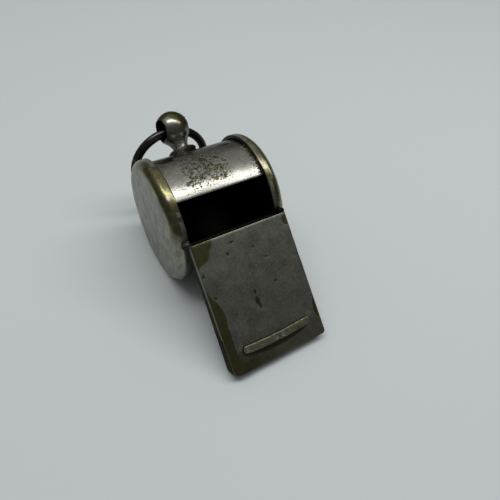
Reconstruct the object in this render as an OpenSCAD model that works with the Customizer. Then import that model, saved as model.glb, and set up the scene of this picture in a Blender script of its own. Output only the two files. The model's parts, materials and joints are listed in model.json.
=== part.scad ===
// Pea whistle: a round drum with two cupped end caps, a flat duct mouthpiece that
// slopes down to the table, a cork pea and a hanging lanyard ring.
// It lies at rest on the rims of both caps and on the tip of the mouthpiece.
// +X runs from the drum to the mouthpiece's tip, +Y to the player's right and +Z up.
// The origin is on the table, at the middle of the whistle's length and width.

/* [Drum] */
// Outside diameter of the two end caps
cap_d = 22; // [20:0.5:28]
// Thickness of the end caps' sheet
cap_sheet = 0.75; // [0.5:0.05:1]
// Width of the window, between the inner edges of the two caps' rims
window_w = 16; // [12:0.5:22]
// How far each cap's rim reaches along the drum, from its inner edge to the flat of its face
rim_w = 2.4; // [2:0.1:4]
// Radius of the rounded outer edge of a cap
cap_edge_r = 1.2; // [0.8:0.1:1.6]
// How far the middle of a cap's face stands out
cap_dome = 0.25; // [0.1:0.05:0.5]
// Thickness of the band that wraps round the drum
skin_sheet = 0.55; // [0.4:0.05:0.8]

/* [Window] */
// Length of the window along the mouthpiece, from the end of the duct to the sounding lip
window_l = 6.95; // [5:0.05:8]
// Distance of the mouthpiece's rear edge in front of the drum's axis
duct_start = 5.25; // [4.5:0.05:6]

/* [Mouthpiece] */
// Length of the mouthpiece's top plate
duct_l = 22.35; // [16:0.05:32]
// How far the mouthpiece laps over each cap's rim at its rear edge
rim_lap = 0.8; // [0.4:0.05:1.6]
// How much wider the plate is at its tip, on each side
plate_flare = 0.25; // [0:0.05:1]
// How much wider the tray is at its tip, on each side
tray_flare = 0.5; // [0.25:0.05:1.2]
// Height from the tray's underside to the plate's top face
duct_h = 2.55; // [2.3:0.05:3.4]
// Height of the plate's top face above the rims of the caps
duct_proud = 1; // [0.7:0.05:1.4]
// Thickness of the plate and of the tray
duct_sheet = 0.6; // [0.4:0.05:0.7]
// Height of the plate's side flanges, top face included
flange_h = 1.15; // [1:0.05:1.8]
// Distance from the end of a side flange to the tip
flange_end = 6.45; // [2:0.05:10]
// Radius of the mouthpiece's tip corners
tip_corner_r = 1.3; // [0.8:0.1:3]
// Distance of the tray's tip behind the plate's tip
tray_setback = 0.15; // [0.05:0.05:1]

/* [Bite ridge] */
// Length of the ridge that the teeth hold
ridge_l = 12.9; // [8:0.1:14]
// Width of the ridge
ridge_w = 1.4; // [1:0.1:2]
// Height of the ridge
ridge_h = 0.6; // [0.3:0.05:1]
// How far the middle of the ridge bows towards the tip
ridge_bow = 0.25; // [0.1:0.05:1]
// Distance of the ends of the ridge behind the tip
ridge_back = 3.75; // [2:0.05:8]

/* [Ring stud] */
// Angle from the window's middle line back to the stud, round the drum
stud_back = 102.4; // [80:0.1:125]
// Diameter of the stud's ball
ball_d = 6.4; // [5.4:0.1:8]
// Height of the ball's centre above the drum's skin
ball_rise = 5.6; // [5.2:0.1:8]
// Diameter of the ring hole through the ball
ring_hole_d = 3.8; // [3:0.1:4]
// Distance of the hole's axis below the ball's centre, towards the foot
hole_low = 0.1; // [0:0.05:0.4]
// Width of the worn bevel round both mouths of the hole
hole_bevel = 0.25; // [0.1:0.05:0.4]
// Diameter of the stud's waist
waist_d = 2.7; // [2:0.1:3.2]
// Diameter of the stud's foot
foot_d = 5.2; // [4.4:0.1:7]
// Thickness of the stud's foot at its edge
foot_t = 0.6; // [0.4:0.1:1]
// Thickness of the solder between the foot and the top of the drum's skin
foot_solder_t = 0.35; // [0.2:0.05:0.8]

/* [Lanyard ring] */
// Diameter of the ring on the middle of its wire
ring_d = 14.7; // [13:0.1:20]
// Diameter of the ring's wire
ring_wire_d = 1.65; // [1:0.05:2]
// How far to the left of the whistle's middle the ring hangs
ring_shift = 0.85; // [0:0.05:1]
// Gap where the ends of the bent wire meet
ring_joint = 0.2; // [0.1:0.05:0.5]

/* [Pea] */
// Diameter of the cork pea
pea_d = 10.5; // [8:0.1:13]

/* [Solder] */
// Radius of the solder beads at the rear corners of the mouthpiece
corner_solder_r = 0.95; // [0.6:0.05:1.3]
// Radius of the solder fillet under the mouthpiece, along the drum's skin
seam_solder_r = 1; // [0.6:0.1:1.6]

/* [Clearances] */
// Film of solder between two soldered faces
solder_film = 0.03; // [0.02:0.01:0.06]
// Gap between the ring's wire and the edge of its hole where the ring hangs
ring_gap = 0.06; // [0.03:0.01:0.15]
// Gap under the pea, between the cork and the drum's skin
pea_gap = 0.2; // [0.1:0.05:0.4]

/* [Hidden] */
$fn = 180;

// Overshoot of a cutting shape past the face that it cuts
cut = 1;
// Number of straight steps in a cap's dome, from its middle to its rounded edge
dome_steps = 8;

// Rounding of the bite ridge's upper edges, as a share of its height
ridge_round = 0.75;
// How far the ball hides the end of the waist's curve, as a share of the ball's radius
curve_end = 0.8;
// How far the waist's curve flares at its two ends, as a share of the curve's radius
curve_flare = 0.6;
// Place of a corner solder bead's centre: how far it lies behind the mouthpiece's rear edge
// and stands out of the cap's rim, as shares of the bead's radius
bead_behind = 0.25;
bead_out = 0.5;
// Height of the seam's solder fillet, as a share of its radius
fillet_height = 1.7;
// Angle of the ring's joint, round from its lowest point
joint_a = 30;

// Drum, measured from its axis
cap_r = cap_d / 2;
rim_in = window_w / 2;
cap_face = rim_in + rim_w;
skin_r = cap_r - cap_sheet - solder_film;
skin_in_r = skin_r - skin_sheet;
skin_half = cap_face - cap_sheet - solder_film;
dome_r = cap_r - cap_edge_r;
dome_sphere_r = (dome_r * dome_r + cap_dome * cap_dome) / (2 * cap_dome);

// Mouthpiece levels, square to the plate and measured from the drum's axis
plate_n = cap_r + duct_proud;
plate_low_n = plate_n - duct_sheet;
tray_n = plate_n - duct_h;
floor_n = tray_n + duct_sheet;

// Mouthpiece distances along the plate, measured from the drum's axis
tip_s = duct_start + duct_l;
flange_s = tip_s - flange_end;
wall_s = duct_start + skin_sheet;
tray_s = wall_s + solder_film;
tray_tip_s = tip_s - tray_setback;
lip_s = duct_start - window_l;

// Half-widths of the mouthpiece, and the level of the seam along its sides
duct_half = rim_in + rim_lap;
plate_tip_half = duct_half + plate_flare;
tray_tip_half = duct_half + tray_flare;
seam_n = plate_n - flange_h;

// Slope at which the tray's tip and the caps' rims touch the table together
slope = asin(cap_r / norm([tray_tip_s, tray_n])) + atan2(tray_n, tray_tip_s);

// Ring stud, measured out from the drum's axis
stud_a = 90 - slope + stud_back;
ball_r = ball_d / 2;
hole_r = ring_hole_d / 2;
ball_at = skin_r + ball_rise;
hole_at = ball_at - hole_low;
foot_low = skin_r + foot_solder_t;
foot_top = foot_low + foot_t;
waist_r = waist_d / 2;
// The waist's curve runs from the foot's top to a level inside the ball
waist_top = ball_at - ball_r * curve_end;
waist_curve_r = (waist_top - foot_top) / 2;

// Distances from the whistle's middle to the outer and inner edges of the hole's bevels
mouth_r = hole_r + hole_bevel;
mouth_out = sqrt(pow(ball_r, 2) - pow(mouth_r, 2));
mouth_in = mouth_out - hole_bevel;

// Where the ring hangs below the ball: its wire bears on the hole's edge
ring_r = ring_d / 2;
wire_r = ring_wire_d / 2;
ring_drop = hole_r - ring_gap + sqrt(pow(ring_r - wire_r, 2) - pow(mouth_in + ring_shift, 2));

// Place of the drum's axis above the table, with the whistle's length centred on the origin
tip_x = tip_s * cos(slope) + plate_n * sin(slope);
ball_x = ball_at * cos(stud_a);
drum_x = -(tip_x + min(ball_x - ball_r, -cap_r)) / 2;
drum_z = cap_r;

// Pea, at the lowest point of the drum
pea_r = pea_d / 2;
pea_drop = skin_in_r - pea_r - pea_gap;

// Finishes
nickel = [0.44, 0.43, 0.41];
worn_nickel = [0.36, 0.35, 0.31];
solder_grey = [0.48, 0.47, 0.44];
dark_steel = [0.12, 0.12, 0.13];
cork = [0.62, 0.47, 0.3];

// Places its children on the drum's axis
module at_drum() {
    translate([drum_x, 0, drum_z]) children();
}

// Places its children along the mouthpiece: x to the tip, y across, z square to the plate
module on_duct() {
    at_drum() rotate([0, slope, 0]) children();
}

// Spins a profile of radius and distance round an axis that runs to the player's right
module spin_across() {
    rotate([-90, 0, 0]) rotate_extrude() children();
}

// Extrudes a side view, drawn in x and z, across the whistle
module across(w) {
    rotate([90, 0, 0]) linear_extrude(height = w, center = true) children();
}

// A rectangle given by its two corners
module span(low, high) {
    translate(low) square(high - low);
}

// Outside of the drum and its caps, for cutting what is soldered to it
module drum_clearance(r) {
    across(2 * (cap_face + cap_edge_r)) circle(r + solder_film);
}

// Band of the drum: open at the window, with a short wall up to the duct's floor
module drum_skin() {
    color(nickel) on_duct() {
        across(2 * skin_half) difference() {
            circle(skin_r);
            circle(skin_in_r);
            span([lip_s, 0], [duct_start, cap_d]);
        }
        across(2 * (rim_in - solder_film))
            span([duct_start, sqrt(pow(skin_in_r, 2) - pow(duct_start, 2))], [wall_s, floor_n]);
    }
}

// Points of a cap's shallow dome, along a very large arc from its middle to its rounded edge
function dome_points() = [for (i = [0 : dome_steps])
    let (a = i / dome_steps * asin(dome_r / dome_sphere_r))
    [dome_sphere_r * sin(a), cap_face + cap_dome - dome_sphere_r * (1 - cos(a))]];

// Half-section of a cap: radius across, distance from the whistle's middle up
module cap_section() {
    difference() {
        polygon(concat([[0, rim_in]], dome_points(), [[cap_r, cap_face], [cap_r, rim_in]]));
        difference() {
            span([dome_r, cap_face - cap_edge_r], [cap_r + cut, cap_face + cut]);
            translate([dome_r, cap_face - cap_edge_r]) circle(cap_edge_r);
        }
        span([-cut, rim_in - cut], [cap_r - cap_sheet, cap_face - cap_sheet]);
    }
}

module cap() {
    color(nickel) at_drum() spin_across() cap_section();
}

module right_cap() {
    cap();
}

module left_cap() {
    mirror([0, 1, 0]) cap();
}

// Outline of the mouthpiece seen square to its plate: it widens evenly from the rear
// edge to the tip, where it has rounded corners
module tip_outline(from, to, from_half, to_half, r) {
    flare_a = atan2(to_half - from_half, to - from);
    corner = [to - r, to_half - r / cos(flare_a) - r * tan(flare_a)];
    outside = corner + (r + cut) * [-sin(flare_a), cos(flare_a)];
    difference() {
        polygon([[from, -from_half], [from, from_half], [to, to_half], [to, -to_half]]);
        for (side = [0, 1]) mirror([0, side]) difference() {
            polygon([corner, outside, outside + [r + 2 * cut, 0], corner + [r + cut, 0]]);
            translate(corner) circle(r);
        }
    }
}

// Outline of the space between the side walls of the mouthpiece
module inner_outline(from, to, from_half, to_half) {
    polygon([[from, -from_half + duct_sheet], [from, from_half - duct_sheet],
             [to, to_half - duct_sheet], [to, -to_half + duct_sheet]]);
}

// Extrudes an outline square to the plate, between two levels
module between(low, high) {
    translate([0, 0, low]) linear_extrude(height = high - low) children();
}

// Top plate, with a side flange folded down along most of each edge
module mouthpiece_top() {
    color(worn_nickel) on_duct() difference() {
        between(seam_n, plate_n) tip_outline(duct_start, tip_s, duct_half, plate_tip_half, tip_corner_r);
        between(seam_n - cut, plate_low_n) {
            inner_outline(duct_start - cut, tip_s + cut, duct_half, plate_tip_half);
            span([flange_s, -cap_d], [tip_s + cut, cap_d]);
        }
        drum_clearance(cap_r);
    }
}

// Tray under the plate: the windway's floor and its side walls, which rise to meet
// the plate's flanges and, past the flanges' ends, the plate itself
module mouthpiece_tray() {
    color(nickel) on_duct() difference() {
        between(tray_n, plate_low_n - solder_film)
            tip_outline(tray_s, tray_tip_s, duct_half, tray_tip_half, tip_corner_r);
        between(floor_n, plate_n) inner_outline(tray_s - cut, tip_s + cut, duct_half, tray_tip_half);
        between(seam_n - solder_film, plate_n) span([0, -cap_d], [flange_s + solder_film, cap_d]);
        drum_clearance(cap_r);
    }
}

// Section of the ridge with rounded upper edges
module ridge_section() {
    ridge_round_r = ridge_h * ridge_round;
    difference() {
        span([-ridge_w / 2, 0], [ridge_w / 2, ridge_h]);
        for (side = [0, 1]) mirror([side, 0]) difference() {
            span([ridge_w / 2 - ridge_round_r, ridge_h - ridge_round_r], [ridge_w, ridge_h + cut]);
            translate([ridge_w / 2 - ridge_round_r, ridge_h - ridge_round_r]) circle(ridge_round_r);
        }
    }
}

// Raised bar on the plate, bowed towards the tip, with round ends
module bite_ridge() {
    chord = ridge_l / 2 - ridge_w / 2;
    bow_r = (chord * chord + ridge_bow * ridge_bow) / (2 * ridge_bow);
    half_a = asin(chord / bow_r);
    bow_s = tip_s - ridge_back + ridge_bow - bow_r;
    color(worn_nickel) on_duct() translate([bow_s, 0, plate_n + solder_film]) {
        rotate([0, 0, -half_a]) rotate_extrude(angle = 2 * half_a) translate([bow_r, 0]) ridge_section();
        for (side = [-1, 1]) rotate([0, 0, side * half_a]) translate([bow_r, 0, 0])
            rotate_extrude() intersection() {
                ridge_section();
                span([0, 0], [ridge_w, ridge_h]);
            }
    }
}

// Bead of solder round a rear corner of the mouthpiece, on a cap's rim
module corner_solder() {
    bead_s = duct_start - corner_solder_r * bead_behind;
    bead_n = sqrt(pow(cap_r, 2) - pow(duct_start, 2)) + corner_solder_r * bead_out;
    color(solder_grey) on_duct() difference() {
        translate([bead_s, duct_half, bead_n]) sphere(corner_solder_r);
        translate([duct_start - solder_film, 0, 0]) cube([cap_d, duct_half + solder_film, cap_d]);
        drum_clearance(cap_r);
    }
}

module right_corner_solder() {
    corner_solder();
}

module left_corner_solder() {
    mirror([0, 1, 0]) corner_solder();
}

// Concave fillet of solder in the angle between the tray's underside and the drum's skin
module duct_seam_solder() {
    fillet_n = tray_n - seam_solder_r;
    fillet_s = sqrt(pow(skin_r + seam_solder_r, 2) - pow(fillet_n, 2));
    color(solder_grey) on_duct() across(2 * (rim_in - solder_film)) difference() {
        span([tray_s, skin_r / 2], [fillet_s, tray_n - solder_film]);
        circle(skin_r + solder_film);
        translate([fillet_s, fillet_n]) circle(seam_solder_r + solder_film);
        span([tray_s - cut, 0], [fillet_s + cut, tray_n - seam_solder_r * fillet_height]);
    }
}

// Places its children at the stud: z out from the drum's axis
module at_stud() {
    at_drum() rotate([0, 90 - stud_a, 0]) children();
}

// Half-section of the stud: foot, waist and ball
module stud_section() {
    translate([0, ball_at]) intersection() {
        circle(ball_r);
        span([0, -ball_r], [ball_r, ball_r]);
    }
    span([0, foot_low], [foot_d / 2, foot_top]);
    difference() {
        span([0, foot_top - foot_t / 2], [waist_r + waist_curve_r * curve_flare, waist_top]);
        translate([waist_r + waist_curve_r, (foot_top + waist_top) / 2]) circle(waist_curve_r);
    }
}

// Half-section of the ring hole, with a bevel at each mouth
module hole_section() {
    span([0, -ball_d], [hole_r, ball_d]);
    outside = mouth_in + ball_d;
    for (side = [0, 1]) mirror([0, side])
        polygon([[0, mouth_in], [hole_r, mouth_in], [hole_r + ball_d, outside], [0, outside]]);
}

// Ball-headed stud with a cross hole for the ring
module ring_stud() {
    color(worn_nickel) at_stud() difference() {
        rotate_extrude() stud_section();
        translate([0, 0, hole_at]) rotate([90, 0, 0]) rotate_extrude() hole_section();
    }
}

// Pad of solder that fills in between the foot and the curve of the skin
module stud_solder() {
    pad_low = sqrt(pow(skin_r, 2) - pow(foot_d / 2, 2)) - cut;
    color(solder_grey) difference() {
        at_stud() translate([0, 0, pad_low])
            cylinder(r = foot_d / 2, h = foot_low - solder_film - pad_low);
        at_drum() across(window_w) circle(skin_r + solder_film);
    }
}

// Ring of bent wire, hanging in the stud's hole, with its joint low at the back
module lanyard_ring() {
    open_a = ring_joint / ring_r * 180 / PI;
    color(dark_steel) at_drum()
        translate([hole_at * cos(stud_a), -ring_shift, hole_at * sin(stud_a) - ring_drop])
            rotate([0, 90, 0]) rotate([0, 0, joint_a + open_a / 2])
                rotate_extrude(angle = 360 - open_a)
                    translate([ring_r, 0]) circle(wire_r);
}

// Loose cork pea, lying at the bottom of the drum
module cork_pea() {
    color(cork) at_drum() translate([0, 0, -pea_drop]) sphere(pea_r);
}

drum_skin();
left_cap();
right_cap();
mouthpiece_top();
mouthpiece_tray();
bite_ridge();
left_corner_solder();
right_corner_solder();
duct_seam_solder();
ring_stud();
stud_solder();
lanyard_ring();
cork_pea();
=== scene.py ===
"""Looks of a pea whistle: worn nickel plate over brass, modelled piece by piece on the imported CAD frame.

The frame gives the place and outer size of every piece. Local frames used here, all from the frame:
drum frame (x square to the mouthpiece, y along it, z along the drum's axis), mouthpiece frame
(x to the tip, y across, z square to the plate) and stud frame (z out from the drum's axis).
"""

import json
import math

import bmesh
import bpy
from bpy.props import FloatProperty, FloatVectorProperty, PointerProperty
from mathutils import Matrix, Quaternion, Vector, noise


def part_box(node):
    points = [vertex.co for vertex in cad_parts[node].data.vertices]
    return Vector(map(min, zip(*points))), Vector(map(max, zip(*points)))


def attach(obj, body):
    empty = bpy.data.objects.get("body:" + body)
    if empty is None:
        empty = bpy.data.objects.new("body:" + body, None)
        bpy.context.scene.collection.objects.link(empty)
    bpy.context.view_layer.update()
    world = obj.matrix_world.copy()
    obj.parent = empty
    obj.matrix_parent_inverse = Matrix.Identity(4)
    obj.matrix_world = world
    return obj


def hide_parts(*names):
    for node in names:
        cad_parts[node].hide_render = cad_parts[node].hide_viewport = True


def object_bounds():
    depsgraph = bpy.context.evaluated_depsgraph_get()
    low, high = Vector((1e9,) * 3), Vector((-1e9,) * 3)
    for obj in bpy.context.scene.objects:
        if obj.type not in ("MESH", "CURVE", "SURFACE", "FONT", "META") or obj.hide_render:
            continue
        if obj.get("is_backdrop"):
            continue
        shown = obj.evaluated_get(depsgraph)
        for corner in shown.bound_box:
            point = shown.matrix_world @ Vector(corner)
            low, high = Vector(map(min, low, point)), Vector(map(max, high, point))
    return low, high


bl_info = {
    "name": "Pea Whistle",
    "version": (1, 0, 0),
    "blender": (4, 5, 0),
    "location": "View3D > Sidebar > Pea Whistle",
    "description": "Models the shells, stud, ring, pea and finishes of an old pea whistle on its CAD frame",
    "category": "Object",
}

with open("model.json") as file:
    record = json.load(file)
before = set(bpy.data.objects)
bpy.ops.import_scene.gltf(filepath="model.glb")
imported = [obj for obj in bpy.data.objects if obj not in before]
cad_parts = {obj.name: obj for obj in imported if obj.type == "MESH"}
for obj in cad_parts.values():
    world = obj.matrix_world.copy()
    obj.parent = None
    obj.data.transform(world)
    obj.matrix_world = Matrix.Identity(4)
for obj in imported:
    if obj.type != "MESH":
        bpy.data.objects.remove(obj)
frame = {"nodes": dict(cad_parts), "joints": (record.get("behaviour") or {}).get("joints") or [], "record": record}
cad_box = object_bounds()

MM = 0.001
WELD = 0.002 * MM
SHARP = math.radians(38)
# The noise stays below this, so a ripple only presses inward
NOISE_PEAK = 0.75
# Faces round each turned or bent piece
BAND_STEPS, CAP_STEPS, STUD_STEPS, HOLE_STEPS, RING_STEPS, WIRE_STEPS = 150, 160, 96, 64, 160, 28
QUARTER = math.radians(90)
ACROSS = Vector((0, 1, 0))


# ---- places, read from the frame

def entry(kind, name):
    """The record's mount or joint of that name."""
    source = frame["joints"] if kind == "joint" else frame["record"]["mounts"]
    return next(item for item in source if item["name"] == name)


def reach(node, direction):
    """Lowest and highest place of a CAD node along a direction, measured from the drum's axis."""
    places = [(v.co - DRUM).dot(direction) for v in frame["nodes"][node].data.vertices]
    return min(places), max(places)


def axes(x, y, z, origin):
    """The matrix of a local frame with these axes."""
    return Matrix.Translation(origin) @ Matrix((x, y, z)).transposed().to_4x4()


cap_low, cap_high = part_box("right_cap")
DRUM = Vector(((cap_low.x + cap_high.x) / 2, 0, (cap_low.z + cap_high.z) / 2))
CAP_R = (cap_high.z - cap_low.z) / 2
RIM_IN = cap_low.y
CAP_OUT = cap_high.y

ALONG = Vector(entry("mount", "mouthpiece_grip")["axis"]).normalized()
OUT = ALONG.cross(ACROSS)
SLOPE = math.atan2(-ALONG.z, ALONG.x)
DRUM_FRAME = axes(OUT, ALONG, ACROSS, DRUM)
DUCT_FRAME = axes(ALONG, ACROSS, OUT, DRUM)
PLATE_REAR, PLATE_TIP = reach("mouthpiece_top", ALONG)
PLATE_LOW, PLATE_TOP = reach("mouthpiece_top", OUT)
PLATE_HALF = reach("mouthpiece_top", ACROSS)[1]
TRAY_REAR, TRAY_TIP = reach("mouthpiece_tray", ALONG)
TRAY_LOW, TRAY_TOP = reach("mouthpiece_tray", OUT)
TRAY_HALF = reach("mouthpiece_tray", ACROSS)[1]
SKIN_R = DRUM.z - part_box("drum_skin")[0].z
SKIN_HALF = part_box("drum_skin")[1].y
RIDGE_REAR, RIDGE_TIP = reach("bite_ridge", ALONG)
RIDGE_LOW, RIDGE_TOP = reach("bite_ridge", OUT)
RIDGE_HALF = reach("bite_ridge", ACROSS)[1]

HOLE = Vector(entry("joint", "ring_swing")["pos_m"])
STUD = (HOLE - DRUM).normalized()
STUD_FRAME = axes(ACROSS.cross(STUD), ACROSS, STUD, DRUM)
HOLE_AT = (HOLE - DRUM).length
FOOT_LOW, BALL_TOP = reach("ring_stud", STUD)
HOLE_LOW = 0.1 * MM
BALL_AT = HOLE_AT + HOLE_LOW
BALL_R = BALL_TOP - BALL_AT

ring_low, ring_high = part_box("lanyard_ring")
RING = (ring_low + ring_high) / 2
WIRE_R = (ring_high.x - ring_low.x) / 2
RING_R = (ring_high.y - ring_low.y) / 2 - WIRE_R
RING_FRAME = axes(Vector((0, 1, 0)), Vector((0, 0, 1)), Vector((1, 0, 0)), RING)

pea_low, pea_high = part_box("cork_pea")
PEA = (pea_low + pea_high) / 2
PEA_R = (pea_high.z - pea_low.z) / 2


# ---- settings that a user may change

def in_mm(*values):
    """Lengths in metres from lengths in mm."""
    return tuple(value * MM for value in values)


def size(name, description, value):
    """A length setting. Its default is given in mm and kept in metres."""
    return FloatProperty(name=name, description=description, default=value * MM, min=0, unit="LENGTH",
                         subtype="DISTANCE", precision=6)


def turn(name, description, degrees):
    """An angle setting. Its default is given in degrees and kept in radians."""
    return FloatProperty(name=name, description=description, default=math.radians(degrees),
                         subtype="ANGLE", unit="ROTATION")


def colour(name, description, value):
    """A colour setting."""
    return FloatVectorProperty(name=name, description=description, default=value, size=3, min=0, max=1,
                               subtype="COLOR")


def share(name, description, value):
    """A setting from nothing to all."""
    return FloatProperty(name=name, description=description, default=value, min=0, max=1, subtype="FACTOR")


class WhistleSizes(bpy.types.PropertyGroup):
    """Sheet thicknesses, edge roundings and wear of the whistle's pieces."""

    skin_sheet: size("Band sheet", "Thickness of the band round the drum", 0.55)
    cap_sheet: size("Cap sheet", "Thickness of the end caps", 0.75)
    duct_sheet: size("Mouthpiece sheet", "Thickness of the mouthpiece's plate and tray", 0.6)
    window_length: size("Window", "From the rear edge of the plate to the sounding lip", 6.95)
    cap_edge: size("Cap edge", "Radius of a cap's rounded outer edge", 1.2)
    cap_dome: size("Cap dome", "How far the middle of a cap's face stands out", 0.25)
    rim_lip: size("Rim lip", "Rounding of a cap's inner lip", 0.2)
    plate_flare: size("Plate flare", "How much wider the plate is at its tip, on each side", 0.25)
    tray_flare: size("Tray flare", "How much wider the tray is at its tip, on each side", 0.5)
    left_corner: size("Left tip corner", "Radius of the mouthpiece's left tip corner", 1.1)
    right_corner: size("Right tip corner", "Radius of the mouthpiece's right tip corner", 0.6)
    flange_end: size("Flange end", "From the end of a folded flange to the tip", 6.45)
    fold: size("Fold", "Rounding of the plate's folded edges", 0.24)
    worn_edge: size("Worn edge", "Rounding of cut edges", 0.09)
    lip_edge: size("Lip edge", "Rounding of the sounding lip", 0.13)
    ridge_width: size("Ridge width", "Width of the bite ridge", 1.35)
    foot_radius: size("Foot radius", "Radius of the stud's foot", 2.6)
    foot_height: size("Foot height", "Height of the stud's foot at its edge", 0.6)
    waist_radius: size("Waist radius", "Radius of the stud's waist", 1.45)
    hole_radius: size("Hole radius", "Radius of the hole through the stud's ball", 1.9)
    hole_wear: size("Hole wear", "Rounding of the hole's two mouths", 0.12)
    hole_skew: turn("Hole skew", "Turn of the wear at the hole's left mouth", 14)
    ring_gap: size("Ring joint", "Gap where the ends of the ring's wire meet", 0.2)
    dent_depth: size("Dents", "Depth of the dents in the plate", 0.05)
    unevenness: size("Unevenness", "How far the thin sheet strays from flat", 0.03)


class WhistleFinish(bpy.types.PropertyGroup):
    """Colours of the whistle's worn metal, solder, wire and cork."""

    nickel: colour("Nickel", "Nickel plate of the drum", (0.285, 0.280, 0.245))
    dull_nickel: colour("Dull nickel", "Tarnished plate of the mouthpiece", (0.166, 0.169, 0.141))
    brass: colour("Brass", "Brass where the plating has worn through", (0.150, 0.138, 0.045))
    # Also the colour of the painted shade in creases, round the stud's foot, before the bite ridge and on the
    # solder's right side
    tarnish: colour("Tarnish", "Dark tarnish in pits and specks", (0.030, 0.026, 0.017))
    solder: colour("Solder", "Dull soft solder", (0.17, 0.17, 0.15))
    wire: colour("Ring wire", "Blackened steel wire", (0.048, 0.047, 0.045))
    # Partly oxide, partly painted shade: far darker than oxide alone, so the window looks as dark as deep shade
    inside: colour("Inside", "Oxidised metal inside the drum", (0.006, 0.006, 0.005))
    # Partly old cork, partly painted shade: far darker than old cork alone, so the pea vanishes in the drum
    cork: colour("Cork", "Old blackened cork", (0.007, 0.005, 0.004))
    wear: share("Wear", "How far the plating has worn off edges and patches", 0.85)
    scratches: share("Scratches", "Strength of the fine scratches", 0.6)


class WhistleStage(bpy.types.PropertyGroup):
    """Camera, light and floor."""

    azimuth: turn("Azimuth", "Direction of the camera round the whistle", 53.03)
    elevation: turn("Elevation", "Height of the camera above the horizon", 50.37)
    roll: turn("Roll", "Turn of the camera about its line of sight", 8.15)
    distance: size("Distance", "From the camera to the point that it looks at", 76.45)
    target: FloatVectorProperty(name="Target", description="Point that the camera looks at", size=3,
                                default=in_mm(5.55, 3.02, 8.8), subtype="TRANSLATION", unit="LENGTH")
    lens: FloatProperty(name="Lens", description="Focal length in millimetres on a 36 mm sensor",
                        default=30.96, min=10)
    lamp_power: FloatProperty(name="Lamp", description="Power of the strip lamp in watts", default=1.12,
                              min=0, subtype="POWER", unit="POWER")
    fill: FloatProperty(name="Fill", description="Strength of the sky", default=0.84, min=0)
    floor: colour("Floor", "Colour of the floor", (0.50, 0.54, 0.54))


# ---- mesh helpers

def arc(centre, radius, start, end, steps):
    """Points of a round stretch of an outline, between two angles in degrees."""
    angles = [math.radians(start + (end - start) * i / steps) for i in range(steps + 1)]
    return [(centre[0] + radius * math.cos(a), centre[1] + radius * math.sin(a)) for a in angles]


def line(start, end, steps):
    """Points of a straight stretch of an outline, without its last point."""
    return [(start[0] + (end[0] - start[0]) * i / steps, start[1] + (end[1] - start[1]) * i / steps)
            for i in range(steps)]


def turned(outline, steps):
    """A shape turned about z from an outline of radius and height."""
    bm = bmesh.new()
    verts = [bm.verts.new((radius, 0, height)) for radius, height in outline]
    edges = [bm.edges.new(pair) for pair in zip(verts, verts[1:])]
    bmesh.ops.spin(bm, geom=verts + edges, cent=(0, 0, 0), axis=(0, 0, 1), angle=math.tau, steps=steps,
                   use_merge=True)
    bmesh.ops.remove_doubles(bm, verts=bm.verts, dist=WELD)
    bmesh.ops.recalc_face_normals(bm, faces=bm.faces)
    return bm


def close_ends(bm):
    """Closes the two open ends of a bent bar or band."""
    bmesh.ops.holes_fill(bm, edges=[e for e in bm.edges if e.is_boundary], sides=0)
    bmesh.ops.recalc_face_normals(bm, faces=bm.faces)


def mid(face):
    """The middle of a face."""
    return face.calc_center_median()


def cut_across(bm, at, direction, faces=None):
    """Cuts faces, or the whole mesh, along a plane."""
    if faces is None:
        geom = bm.verts[:] + bm.edges[:] + bm.faces[:]
    else:
        geom = faces + list({e for f in faces for e in f.edges}) + list({v for f in faces for v in f.verts})
    bmesh.ops.bisect_plane(bm, geom=geom, dist=WELD, plane_co=at, plane_no=direction)


def slice_up(bm, direction, spacing):
    """Cuts every face into strips square to a direction, so that the surface can be shaped."""
    direction = Vector(direction)
    places = [v.co.dot(direction) for v in bm.verts]
    low, high = min(places), max(places)
    count = max(1, round((high - low) / spacing))
    for i in range(1, count):
        cut_across(bm, direction * (low + (high - low) * i / count), direction)


def grid(bm, spacing):
    """Cuts a sheet into a grid, and what is left with more than four corners into triangles."""
    slice_up(bm, (1, 0, 0), spacing)
    slice_up(bm, (0, 1, 0), spacing)
    bmesh.ops.triangulate(bm, faces=[f for f in bm.faces if len(f.verts) > 4])


def raise_faces(bm, faces, lift):
    """Extrudes faces straight up by lift, or down where it is negative."""
    made = bmesh.ops.extrude_face_region(bm, geom=faces)["geom"]
    verts = [g for g in made if isinstance(g, bmesh.types.BMVert)]
    bmesh.ops.translate(bm, verts=verts, vec=(0, 0, lift))
    return [g for g in made if isinstance(g, bmesh.types.BMFace)]


def round_edges(bm, width, segments, wanted, angle=50):
    """Bevels the edges sharper than an angle that the wanted test picks."""
    bm.normal_update()
    edges = [e for e in bm.edges if len(e.link_faces) == 2
             and e.calc_face_angle(0) > math.radians(angle) and wanted(e)]
    bmesh.ops.bevel(bm, geom=edges, offset=width, affect="EDGES", segments=segments, profile=0.5,
                    material=-1, clamp_overlap=False)


def ripple(bm, spread, depth, seed):
    """Makes a surface slightly uneven, pressing it inward only."""
    bm.normal_update()
    offset = Vector((seed, seed, seed))
    moves = [v.normal * depth * (noise.noise(v.co / spread + offset) - NOISE_PEAK) for v in bm.verts]
    for v, move in zip(bm.verts, moves):
        v.co += move


def dent(bm, at, width, depth):
    """Presses a shallow round dent into the surface at a point."""
    bm.normal_update()
    for v in bm.verts:
        far = (v.co - Vector(at)).length / width
        if far < 1:
            v.co -= v.normal * depth * (1 - far * far) ** 2


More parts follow.
